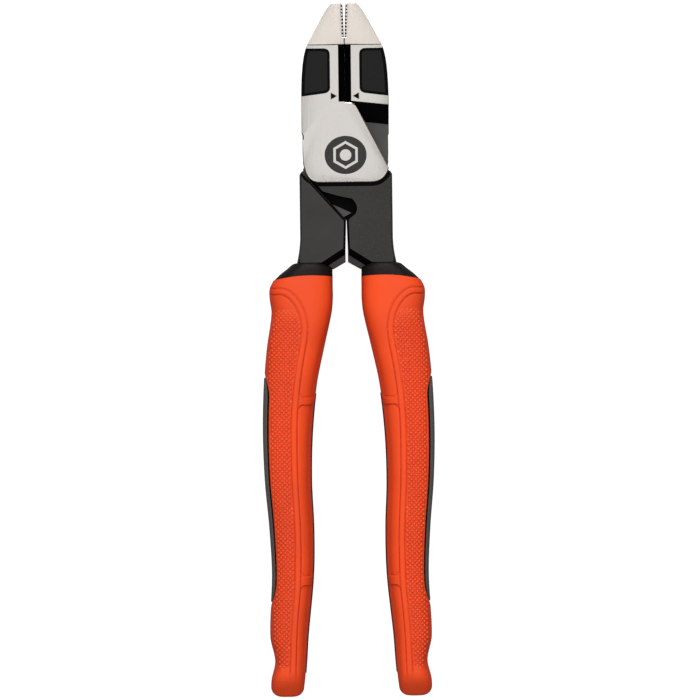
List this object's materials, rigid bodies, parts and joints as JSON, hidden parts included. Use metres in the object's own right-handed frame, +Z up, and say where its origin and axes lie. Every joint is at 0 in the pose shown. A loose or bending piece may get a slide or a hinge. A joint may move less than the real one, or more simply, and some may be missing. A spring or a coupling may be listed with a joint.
{
  "type": "lineman pliers",
  "caption": "Lineman pliers: forged lap-joint halves on a rivet, toothed flat nose, side-cutting knives and long moulded grips with a guard collar and soft inlays.",
  "frame": {"origin": "middle of the bounding box in X and Y, at its lowest point: the closed tool lies flat on its grips", "axes": "+X across the jaws to the right, +Y from the grip ends towards the jaw tips, +Z up out of the front face; the rivet axis is along Z"},
  "size_m": [0.0598, 0.2414, 0.02],
  "materials": {
    "jaw_steel": "ground and polished head, black oxide on the tangs",
    "rivet_steel": "flush, dark etched",
    "collar_black": "satin moulded",
    "sleeve_orange": "satin with a fine diamond texture",
    "insert_grey": "soft matt",
    "strip_black": "soft matt"
  },
  "bodies": {
    "front_lap_half": {"left_jaw_half": "jaw_steel", "pivot_rivet": "rivet_steel", "right_grip_core": "collar_black", "right_grip_sleeve": "sleeve_orange", "right_outer_insert": "insert_grey", "right_inner_strip": "strip_black"},
    "rear_lap_half": {"right_jaw_half": "jaw_steel", "left_grip_core": "collar_black", "left_grip_sleeve": "sleeve_orange", "left_outer_insert": "insert_grey", "left_inner_strip": "strip_black"}
  },
  "joints": [
    {"name": "pivot", "type": "hinge", "parent": "front_lap_half", "child": "rear_lap_half", "pos_m": [0, 0.06775, 0.01], "axis": [0, 0, -1], "range_deg": [0, 42]}
  ]
}
